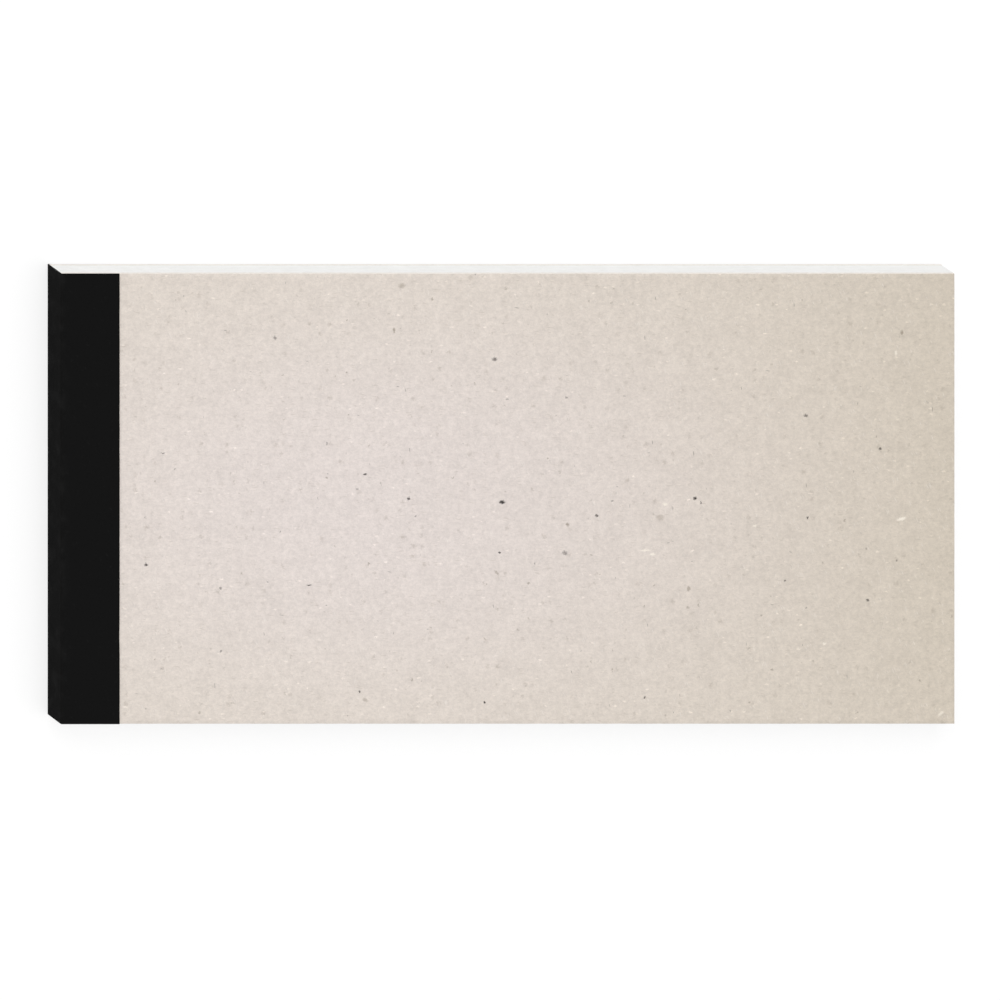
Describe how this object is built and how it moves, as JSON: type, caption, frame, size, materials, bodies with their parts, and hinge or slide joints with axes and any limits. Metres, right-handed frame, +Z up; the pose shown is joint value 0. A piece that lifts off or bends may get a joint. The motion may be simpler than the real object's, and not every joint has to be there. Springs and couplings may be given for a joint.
{
  "type": "cash voucher book",
  "caption": "Oblong tape-bound voucher book with stiff grey chipboard covers and loose-turning paper leaves, wire stitched in a black taped spine.",
  "frame": {"origin": "middle of the underside of the closed book, on the plane that it lies on", "axes": "+X from the taped spine to the fore-edge, +Y from tail to head, +Z up out of the front cover"},
  "size_m": [0.2026, 0.102, 0.0076],
  "materials": {
    "chipboard": "matte",
    "binding_tape": "matte",
    "paper": "matte",
    "stitching_wire": "satin"
  },
  "bodies": {
    "book_block": {"bound_margin": "paper", "back_board": "chipboard", "tape_spine_arm": "binding_tape", "wire_stitch_head": "stitching_wire", "wire_stitch_tail": "stitching_wire"},
    "front_cover": {"front_board": "chipboard", "tape_front_arm": "binding_tape"},
    "leaf_01": {"leaf_01": "paper"},
    "leaf_02": {"leaf_02": "paper"},
    "leaf_03": {"leaf_03": "paper"},
    "leaf_04": {"leaf_04": "paper"},
    "leaf_05": {"leaf_05": "paper"},
    "leaf_06": {"leaf_06": "paper"},
    "leaf_07": {"leaf_07": "paper"},
    "leaf_08": {"leaf_08": "paper"},
    "leaf_09": {"leaf_09": "paper"},
    "leaf_10": {"leaf_10": "paper"},
    "leaf_11": {"leaf_11": "paper"},
    "leaf_12": {"leaf_12": "paper"},
    "leaf_13": {"leaf_13": "paper"},
    "leaf_14": {"leaf_14": "paper"},
    "leaf_15": {"leaf_15": "paper"},
    "leaf_16": {"leaf_16": "paper"},
    "leaf_17": {"leaf_17": "paper"},
    "leaf_18": {"leaf_18": "paper"},
    "leaf_19": {"leaf_19": "paper"},
    "leaf_20": {"leaf_20": "paper"},
    "leaf_21": {"leaf_21": "paper"},
    "leaf_22": {"leaf_22": "paper"},
    "leaf_23": {"leaf_23": "paper"},
    "leaf_24": {"leaf_24": "paper"},
    "leaf_25": {"leaf_25": "paper"},
    "leaf_26": {"leaf_26": "paper"},
    "leaf_27": {"leaf_27": "paper"},
    "leaf_28": {"leaf_28": "paper"},
    "leaf_29": {"leaf_29": "paper"},
    "leaf_30": {"leaf_30": "paper"},
    "leaf_31": {"leaf_31": "paper"},
    "leaf_32": {"leaf_32": "paper"},
    "leaf_33": {"leaf_33": "paper"},
    "leaf_34": {"leaf_34": "paper"},
    "leaf_35": {"leaf_35": "paper"},
    "leaf_36": {"leaf_36": "paper"},
    "leaf_37": {"leaf_37": "paper"},
    "leaf_38": {"leaf_38": "paper"},
    "leaf_39": {"leaf_39": "paper"},
    "leaf_40": {"leaf_40": "paper"},
    "leaf_41": {"leaf_41": "paper"},
    "leaf_42": {"leaf_42": "paper"},
    "leaf_43": {"leaf_43": "paper"},
    "leaf_44": {"leaf_44": "paper"},
    "leaf_45": {"leaf_45": "paper"},
    "leaf_46": {"leaf_46": "paper"},
    "leaf_47": {"leaf_47": "paper"},
    "leaf_48": {"leaf_48": "paper"},
    "leaf_49": {"leaf_49": "paper"},
    "leaf_50": {"leaf_50": "paper"}
  },
  "joints": [
    {"name": "cover_hinge", "type": "hinge", "parent": "book_block", "child": "front_cover", "pos_m": [-0.10131, 0, 0.00649], "axis": [0, -1, 0], "range_deg": [0, 179]},
    {"name": "leaf_01_turn", "type": "hinge", "parent": "book_block", "child": "leaf_01", "pos_m": [-0.08735, 0, 0.00649], "axis": [0, -1, 0], "range_deg": [0, 179]},
    {"name": "leaf_02_turn", "type": "hinge", "parent": "book_block", "child": "leaf_02", "pos_m": [-0.08735, 0, 0.00649], "axis": [0, -1, 0], "range_deg": [0, 179]},
    {"name": "leaf_03_turn", "type": "hinge", "parent": "book_block", "child": "leaf_03", "pos_m": [-0.08735, 0, 0.00649], "axis": [0, -1, 0], "range_deg": [0, 179]},
    {"name": "leaf_04_turn", "type": "hinge", "parent": "book_block", "child": "leaf_04", "pos_m": [-0.08735, 0, 0.00649], "axis": [0, -1, 0], "range_deg": [0, 179]},
    {"name": "leaf_05_turn", "type": "hinge", "parent": "book_block", "child": "leaf_05", "pos_m": [-0.08735, 0, 0.00649], "axis": [0, -1, 0], "range_deg": [0, 179]},
    {"name": "leaf_06_turn", "type": "hinge", "parent": "book_block", "child": "leaf_06", "pos_m": [-0.08735, 0, 0.00649], "axis": [0, -1, 0], "range_deg": [0, 179]},
    {"name": "leaf_07_turn", "type": "hinge", "parent": "book_block", "child": "leaf_07", "pos_m": [-0.08735, 0, 0.00649], "axis": [0, -1, 0], "range_deg": [0, 179]},
    {"name": "leaf_08_turn", "type": "hinge", "parent": "book_block", "child": "leaf_08", "pos_m": [-0.08735, 0, 0.00649], "axis": [0, -1, 0], "range_deg": [0, 179]},
    {"name": "leaf_09_turn", "type": "hinge", "parent": "book_block", "child": "leaf_09", "pos_m": [-0.08735, 0, 0.00649], "axis": [0, -1, 0], "range_deg": [0, 179]},
    {"name": "leaf_10_turn", "type": "hinge", "parent": "book_block", "child": "leaf_10", "pos_m": [-0.08735, 0, 0.00649], "axis": [0, -1, 0], "range_deg": [0, 179]},
    {"name": "leaf_11_turn", "type": "hinge", "parent": "book_block", "child": "leaf_11", "pos_m": [-0.08735, 0, 0.00649], "axis": [0, -1, 0], "range_deg": [0, 179]},
    {"name": "leaf_12_turn", "type": "hinge", "parent": "book_block", "child": "leaf_12", "pos_m": [-0.08735, 0, 0.00649], "axis": [0, -1, 0], "range_deg": [0, 179]},
    {"name": "leaf_13_turn", "type": "hinge", "parent": "book_block", "child": "leaf_13", "pos_m": [-0.08735, 0, 0.00649], "axis": [0, -1, 0], "range_deg": [0, 179]},
    {"name": "leaf_14_turn", "type": "hinge", "parent": "book_block", "child": "leaf_14", "pos_m": [-0.08735, 0, 0.00649], "axis": [0, -1, 0], "range_deg": [0, 179]},
    {"name": "leaf_15_turn", "type": "hinge", "parent": "book_block", "child": "leaf_15", "pos_m": [-0.08735, 0, 0.00649], "axis": [0, -1, 0], "range_deg": [0, 179]},
    {"name": "leaf_16_turn", "type": "hinge", "parent": "book_block", "child": "leaf_16", "pos_m": [-0.08735, 0, 0.00649], "axis": [0, -1, 0], "range_deg": [0, 179]},
    {"name": "leaf_17_turn", "type": "hinge", "parent": "book_block", "child": "leaf_17", "pos_m": [-0.08735, 0, 0.00649], "axis": [0, -1, 0], "range_deg": [0, 179]},
    {"name": "leaf_18_turn", "type": "hinge", "parent": "book_block", "child": "leaf_18", "pos_m": [-0.08735, 0, 0.00649], "axis": [0, -1, 0], "range_deg": [0, 179]},
    {"name": "leaf_19_turn", "type": "hinge", "parent": "book_block", "child": "leaf_19", "pos_m": [-0.08735, 0, 0.00649], "axis": [0, -1, 0], "range_deg": [0, 179]},
    {"name": "leaf_20_turn", "type": "hinge", "parent": "book_block", "child": "leaf_20", "pos_m": [-0.08735, 0, 0.00649], "axis": [0, -1, 0], "range_deg": [0, 179]},
    {"name": "leaf_21_turn", "type": "hinge", "parent": "book_block", "child": "leaf_21", "pos_m": [-0.08735, 0, 0.00649], "axis": [0, -1, 0], "range_deg": [0, 179]},
    {"name": "leaf_22_turn", "type": "hinge", "parent": "book_block", "child": "leaf_22", "pos_m": [-0.08735, 0, 0.00649], "axis": [0, -1, 0], "range_deg": [0, 179]},
    {"name": "leaf_23_turn", "type": "hinge", "parent": "book_block", "child": "leaf_23", "pos_m": [-0.08735, 0, 0.00649], "axis": [0, -1, 0], "range_deg": [0, 179]},
    {"name": "leaf_24_turn", "type": "hinge", "parent": "book_block", "child": "leaf_24", "pos_m": [-0.08735, 0, 0.00649], "axis": [0, -1, 0], "range_deg": [0, 179]},
    {"name": "leaf_25_turn", "type": "hinge", "parent": "book_block", "child": "leaf_25", "pos_m": [-0.08735, 0, 0.00649], "axis": [0, -1, 0], "range_deg": [0, 179]},
    {"name": "leaf_26_turn", "type": "hinge", "parent": "book_block", "child": "leaf_26", "pos_m": [-0.08735, 0, 0.00649], "axis": [0, -1, 0], "range_deg": [0, 179]},
    {"name": "leaf_27_turn", "type": "hinge", "parent": "book_block", "child": "leaf_27", "pos_m": [-0.08735, 0, 0.00649], "axis": [0, -1, 0], "range_deg": [0, 179]},
    {"name": "leaf_28_turn", "type": "hinge", "parent": "book_block", "child": "leaf_28", "pos_m": [-0.08735, 0, 0.00649], "axis": [0, -1, 0], "range_deg": [0, 179]},
    {"name": "leaf_29_turn", "type": "hinge", "parent": "book_block", "child": "leaf_29", "pos_m": [-0.08735, 0, 0.00649], "axis": [0, -1, 0], "range_deg": [0, 179]},
    {"name": "leaf_30_turn", "type": "hinge", "parent": "book_block", "child": "leaf_30", "pos_m": [-0.08735, 0, 0.00649], "axis": [0, -1, 0], "range_deg": [0, 179]},
    {"name": "leaf_31_turn", "type": "hinge", "parent": "book_block", "child": "leaf_31", "pos_m": [-0.08735, 0, 0.00649], "axis": [0, -1, 0], "range_deg": [0, 179]},
    {"name": "leaf_32_turn", "type": "hinge", "parent": "book_block", "child": "leaf_32", "pos_m": [-0.08735, 0, 0.00649], "axis": [0, -1, 0], "range_deg": [0, 179]},
    {"name": "leaf_33_turn", "type": "hinge", "parent": "book_block", "child": "leaf_33", "pos_m": [-0.08735, 0, 0.00649], "axis": [0, -1, 0], "range_deg": [0, 179]},
    {"name": "leaf_34_turn", "type": "hinge", "parent": "book_block", "child": "leaf_34", "pos_m": [-0.08735, 0, 0.00649], "axis": [0, -1, 0], "range_deg": [0, 179]},
    {"name": "leaf_35_turn", "type": "hinge", "parent": "book_block", "child": "leaf_35", "pos_m": [-0.08735, 0, 0.00649], "axis": [0, -1, 0], "range_deg": [0, 179]},
    {"name": "leaf_36_turn", "type": "hinge", "parent": "book_block", "child": "leaf_36", "pos_m": [-0.08735, 0, 0.00649], "axis": [0, -1, 0], "range_deg": [0, 179]},
    {"name": "leaf_37_turn", "type": "hinge", "parent": "book_block", "child": "leaf_37", "pos_m": [-0.08735, 0, 0.00649], "axis": [0, -1, 0], "range_deg": [0, 179]},
    {"name": "leaf_38_turn", "type": "hinge", "parent": "book_block", "child": "leaf_38", "pos_m": [-0.08735, 0, 0.00649], "axis": [0, -1, 0], "range_deg": [0, 179]},
    {"name": "leaf_39_turn", "type": "hinge", "parent": "book_block", "child": "leaf_39", "pos_m": [-0.08735, 0, 0.00649], "axis": [0, -1, 0], "range_deg": [0, 179]},
    {"name": "leaf_40_turn", "type": "hinge", "parent": "book_block", "child": "leaf_40", "pos_m": [-0.08735, 0, 0.00649], "axis": [0, -1, 0], "range_deg": [0, 179]},
    {"name": "leaf_41_turn", "type": "hinge", "parent": "book_block", "child": "leaf_41", "pos_m": [-0.08735, 0, 0.00649], "axis": [0, -1, 0], "range_deg": [0, 179]},
    {"name": "leaf_42_turn", "type": "hinge", "parent": "book_block", "child": "leaf_42", "pos_m": [-0.08735, 0, 0.00649], "axis": [0, -1, 0], "range_deg": [0, 179]},
    {"name": "leaf_43_turn", "type": "hinge", "parent": "book_block", "child": "leaf_43", "pos_m": [-0.08735, 0, 0.00649], "axis": [0, -1, 0], "range_deg": [0, 179]},
    {"name": "leaf_44_turn", "type": "hinge", "parent": "book_block", "child": "leaf_44", "pos_m": [-0.08735, 0, 0.00649], "axis": [0, -1, 0], "range_deg": [0, 179]},
    {"name": "leaf_45_turn", "type": "hinge", "parent": "book_block", "child": "leaf_45", "pos_m": [-0.08735, 0, 0.00649], "axis": [0, -1, 0], "range_deg": [0, 179]},
    {"name": "leaf_46_turn", "type": "hinge", "parent": "book_block", "child": "leaf_46", "pos_m": [-0.08735, 0, 0.00649], "axis": [0, -1, 0], "range_deg": [0, 179]},
    {"name": "leaf_47_turn", "type": "hinge", "parent": "book_block", "child": "leaf_47", "pos_m": [-0.08735, 0, 0.00649], "axis": [0, -1, 0], "range_deg": [0, 179]},
    {"name": "leaf_48_turn", "type": "hinge", "parent": "book_block", "child": "leaf_48", "pos_m": [-0.08735, 0, 0.00649], "axis": [0, -1, 0], "range_deg": [0, 179]},
    {"name": "leaf_49_turn", "type": "hinge", "parent": "book_block", "child": "leaf_49", "pos_m": [-0.08735, 0, 0.00649], "axis": [0, -1, 0], "range_deg": [0, 179]},
    {"name": "leaf_50_turn", "type": "hinge", "parent": "book_block", "child": "leaf_50", "pos_m": [-0.08735, 0, 0.00649], "axis": [0, -1, 0], "range_deg": [0, 179]}
  ],
  "couplings": [
    {"joint": "leaf_01_turn", "follows": "cover_hinge", "ratio": 0.985},
    {"joint": "leaf_02_turn", "follows": "cover_hinge", "ratio": 0.9764},
    {"joint": "leaf_03_turn", "follows": "cover_hinge", "ratio": 0.9663},
    {"joint": "leaf_04_turn", "follows": "cover_hinge", "ratio": 0.955},
    {"joint": "leaf_05_turn", "follows": "cover_hinge", "ratio": 0.9423},
    {"joint": "leaf_06_turn", "follows": "cover_hinge", "ratio": 0.9285},
    {"joint": "leaf_07_turn", "follows": "cover_hinge", "ratio": 0.9134},
    {"joint": "leaf_08_turn", "follows": "cover_hinge", "ratio": 0.8973},
    {"joint": "leaf_09_turn", "follows": "cover_hinge", "ratio": 0.8802},
    {"joint": "leaf_10_turn", "follows": "cover_hinge", "ratio": 0.862},
    {"joint": "leaf_11_turn", "follows": "cover_hinge", "ratio": 0.843},
    {"joint": "leaf_12_turn", "follows": "cover_hinge", "ratio": 0.8231},
    {"joint": "leaf_13_turn", "follows": "cover_hinge", "ratio": 0.8024},
    {"joint": "leaf_14_turn", "follows": "cover_hinge", "ratio": 0.7809},
    {"joint": "leaf_15_turn", "follows": "cover_hinge", "ratio": 0.7588},
    {"joint": "leaf_16_turn", "follows": "cover_hinge", "ratio": 0.736},
    {"joint": "leaf_17_turn", "follows": "cover_hinge", "ratio": 0.7127},
    {"joint": "leaf_18_turn", "follows": "cover_hinge", "ratio": 0.6888},
    {"joint": "leaf_19_turn", "follows": "cover_hinge", "ratio": 0.6646},
    {"joint": "leaf_20_turn", "follows": "cover_hinge", "ratio": 0.6399},
    {"joint": "leaf_21_turn", "follows": "cover_hinge", "ratio": 0.6149},
    {"joint": "leaf_22_turn", "follows": "cover_hinge", "ratio": 0.5896},
    {"joint": "leaf_23_turn", "follows": "cover_hinge", "ratio": 0.5642},
    {"joint": "leaf_24_turn", "follows": "cover_hinge", "ratio": 0.5386},
    {"joint": "leaf_25_turn", "follows": "cover_hinge", "ratio": 0.5129},
    {"joint": "leaf_26_turn", "follows": "cover_hinge", "ratio": 0.4871},
    {"joint": "leaf_27_turn", "follows": "cover_hinge", "ratio": 0.4614},
    {"joint": "leaf_28_turn", "follows": "cover_hinge", "ratio": 0.4358},
    {"joint": "leaf_29_turn", "follows": "cover_hinge", "ratio": 0.4104},
    {"joint": "leaf_30_turn", "follows": "cover_hinge", "ratio": 0.3851},
    {"joint": "leaf_31_turn", "follows": "cover_hinge", "ratio": 0.3601},
    {"joint": "leaf_32_turn", "follows": "cover_hinge", "ratio": 0.3354},
    {"joint": "leaf_33_turn", "follows": "cover_hinge", "ratio": 0.3112},
    {"joint": "leaf_34_turn", "follows": "cover_hinge", "ratio": 0.2873},
    {"joint": "leaf_35_turn", "follows": "cover_hinge", "ratio": 0.264},
    {"joint": "leaf_36_turn", "follows": "cover_hinge", "ratio": 0.2412},
    {"joint": "leaf_37_turn", "follows": "cover_hinge", "ratio": 0.2191},
    {"joint": "leaf_38_turn", "follows": "cover_hinge", "ratio": 0.1976},
    {"joint": "leaf_39_turn", "follows": "cover_hinge", "ratio": 0.1769},
    {"joint": "leaf_40_turn", "follows": "cover_hinge", "ratio": 0.157},
    {"joint": "leaf_41_turn", "follows": "cover_hinge", "ratio": 0.138},
    {"joint": "leaf_42_turn", "follows": "cover_hinge", "ratio": 0.1198},
    {"joint": "leaf_43_turn", "follows": "cover_hinge", "ratio": 0.1027},
    {"joint": "leaf_44_turn", "follows": "cover_hinge", "ratio": 0.0866},
    {"joint": "leaf_45_turn", "follows": "cover_hinge", "ratio": 0.0715},
    {"joint": "leaf_46_turn", "follows": "cover_hinge", "ratio": 0.0577},
    {"joint": "leaf_47_turn", "follows": "cover_hinge", "ratio": 0.045},
    {"joint": "leaf_48_turn", "follows": "cover_hinge", "ratio": 0.0337},
    {"joint": "leaf_49_turn", "follows": "cover_hinge", "ratio": 0.0236},
    {"joint": "leaf_50_turn", "follows": "cover_hinge", "ratio": 0.015}
  ]
}
